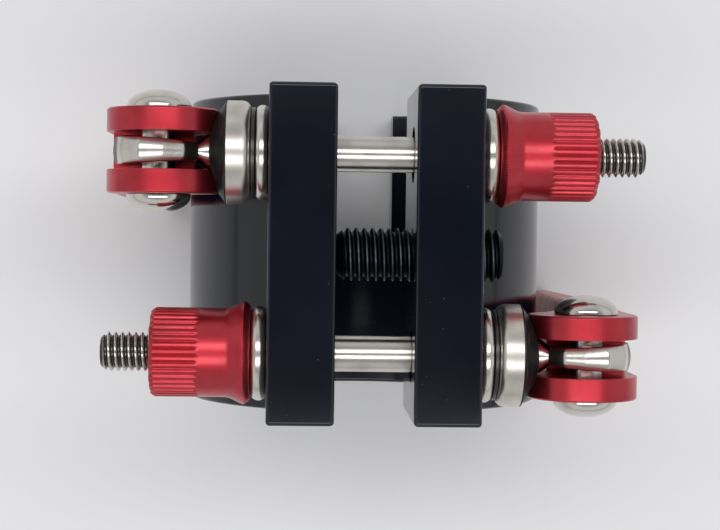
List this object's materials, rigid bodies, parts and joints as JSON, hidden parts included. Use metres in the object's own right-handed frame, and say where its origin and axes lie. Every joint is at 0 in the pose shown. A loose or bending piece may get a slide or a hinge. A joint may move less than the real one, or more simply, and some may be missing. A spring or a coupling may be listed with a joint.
{
  "type": "split collar clamp with quick-release skewers",
  "caption": "One-piece split collar clamp for a round column, closed by opposed cam-lever skewers with knurled barrel nuts and spread by a set screw.",
  "frame": {"origin": "middle of the bounding box's bottom, on the surface that the ring's back rests on, half-way along the bore and between the ears", "axes": "+Z from the ring's back to the ears' flat tops, Y along the column's bore with the upper rim and the relief slot towards +Y, X along the skewers"},
  "size_m": [0.0812, 0.05, 0.078],
  "materials": {
    "black_anodised": "satin black anodised aluminium",
    "red_anodised": "bright red anodised aluminium",
    "nickel_steel": "nickel-plated steel, lightly polished",
    "dark_steel": "thin rolled steel",
    "black_oxide_steel": "black oxide steel",
    "black_plastic": "moulded black acetal"
  },
  "bodies": {
    "clamp": {"clamp_body": "black_anodised", "upper_lever_side_washer": "nickel_steel", "lower_lever_side_washer": "nickel_steel", "upper_slip_washer": "dark_steel", "lower_slip_washer": "dark_steel"},
    "set_screw": {"spreader_screw": "black_oxide_steel"},
    "upper_skewer": {"upper_skewer_rod": "nickel_steel", "upper_cam_saddle": "black_plastic", "upper_cup_washer": "nickel_steel"},
    "upper_lever": {"upper_cam_lever": "red_anodised", "upper_pivot_rivet": "nickel_steel"},
    "upper_washer": {"upper_nut_side_washer": "nickel_steel"},
    "upper_nut": {"upper_barrel_nut": "red_anodised"},
    "lower_skewer": {"lower_skewer_rod": "nickel_steel", "lower_cam_saddle": "black_plastic", "lower_cup_washer": "nickel_steel"},
    "lower_lever": {"lower_cam_lever": "red_anodised", "lower_pivot_rivet": "nickel_steel"},
    "lower_washer": {"lower_nut_side_washer": "nickel_steel"},
    "lower_nut": {"lower_barrel_nut": "red_anodised"}
  },
  "joints": [
    {"name": "set_screw_travel", "type": "slide", "parent": "clamp", "child": "set_screw", "axis": [1, 0, 0], "range_m": [0, 0.01]},
    {"name": "upper_skewer_turn", "type": "hinge", "parent": "clamp", "child": "upper_skewer", "pos_m": [0, 0.015, 0.069], "axis": [1, 0, 0], "range_deg": [-60, 240]},
    {"name": "upper_lever_swing", "type": "hinge", "parent": "upper_skewer", "child": "upper_lever", "pos_m": [-0.0323, 0.015, 0.069], "axis": [0, 1, 0], "range_deg": [0, 150]},
    {"name": "upper_nut_travel", "type": "slide", "parent": "upper_skewer", "child": "upper_washer", "axis": [1, 0, 0], "range_m": [0, 0.007]},
    {"name": "upper_nut_turn", "type": "hinge", "parent": "upper_washer", "child": "upper_nut", "pos_m": [0.0183, 0.015, 0.069], "axis": [1, 0, 0], "range_deg": [0, 2520]},
    {"name": "lower_skewer_turn", "type": "hinge", "parent": "clamp", "child": "lower_skewer", "pos_m": [0, -0.015, 0.069], "axis": [-1, 0, 0], "range_deg": [-60, 240]},
    {"name": "lower_lever_swing", "type": "hinge", "parent": "lower_skewer", "child": "lower_lever", "pos_m": [0.0323, -0.015, 0.069], "axis": [0, -1, 0], "range_deg": [0, 150]},
    {"name": "lower_nut_travel", "type": "slide", "parent": "lower_skewer", "child": "lower_washer", "axis": [-1, 0, 0], "range_m": [0, 0.007]},
    {"name": "lower_nut_turn", "type": "hinge", "parent": "lower_washer", "child": "lower_nut", "pos_m": [-0.0183, -0.015, 0.069], "axis": [-1, 0, 0], "range_deg": [0, 2520]}
  ],
  "couplings": [
    {"joint": "upper_nut_turn", "follows": "upper_nut_travel", "rad_per_m": 6283.2},
    {"joint": "lower_nut_turn", "follows": "lower_nut_travel", "rad_per_m": 6283.2}
  ]
}
